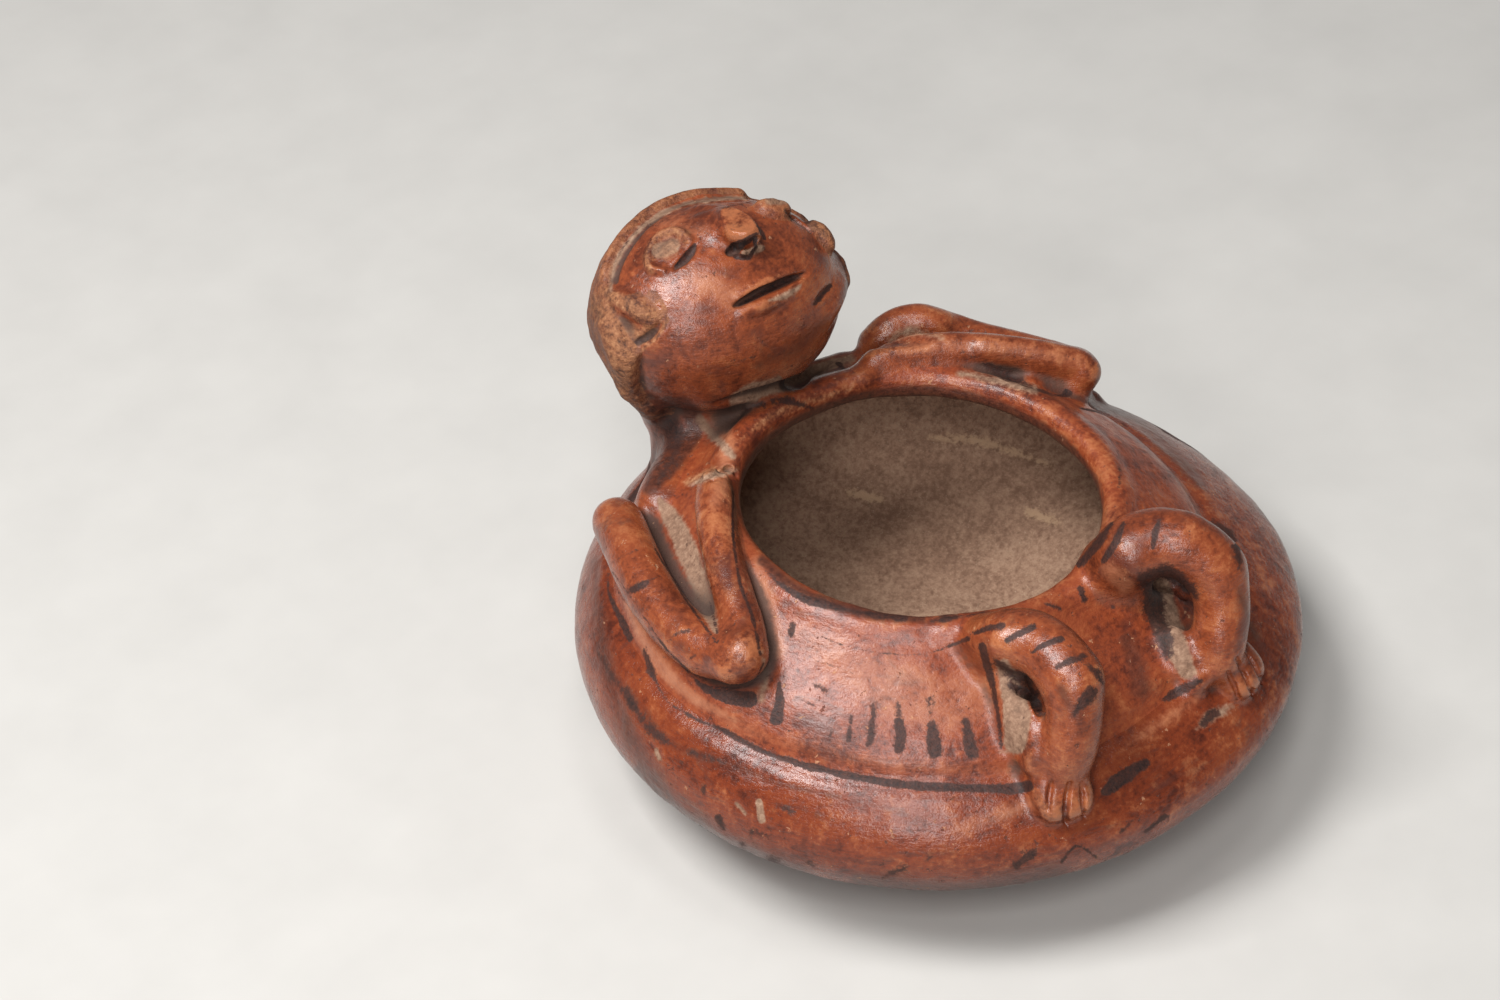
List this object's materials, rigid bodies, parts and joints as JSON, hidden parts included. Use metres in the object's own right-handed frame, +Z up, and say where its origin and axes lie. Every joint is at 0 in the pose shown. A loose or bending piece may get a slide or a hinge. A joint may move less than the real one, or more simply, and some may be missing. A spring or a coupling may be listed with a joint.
{
  "type": "figural vessel",
  "caption": "Round low-bellied clay pot shaped as a reclining figure: raised head past one side of a wide mouth, bent arms along the shoulder, arched knees and toed feet.",
  "frame": {"origin": "middle of the flat base, on the surface that the vessel stands on", "axes": "+Z up out of the mouth, +Y from the base's middle towards the head, +X to the figure's left; the figure lies on its back"},
  "size_m": [0.2, 0.2078, 0.1398],
  "materials": {
    "red_slip": "burnished slip",
    "bare_clay": "rough fired clay"
  },
  "bodies": {
    "root": {"lower_bowl": "red_slip", "shoulder_wall": "red_slip", "rim_coil": "red_slip", "neck": "red_slip", "head": "red_slip", "hair_cap": "bare_clay", "right_ear": "bare_clay", "left_ear": "bare_clay", "right_eye": "red_slip", "left_eye": "red_slip", "nose": "red_slip", "right_shoulder": "red_slip", "left_shoulder": "red_slip", "right_arm": "red_slip", "left_arm": "red_slip", "right_leg": "red_slip", "left_leg": "red_slip", "right_foot": "red_slip", "left_foot": "red_slip"}
  },
  "joints": []
}
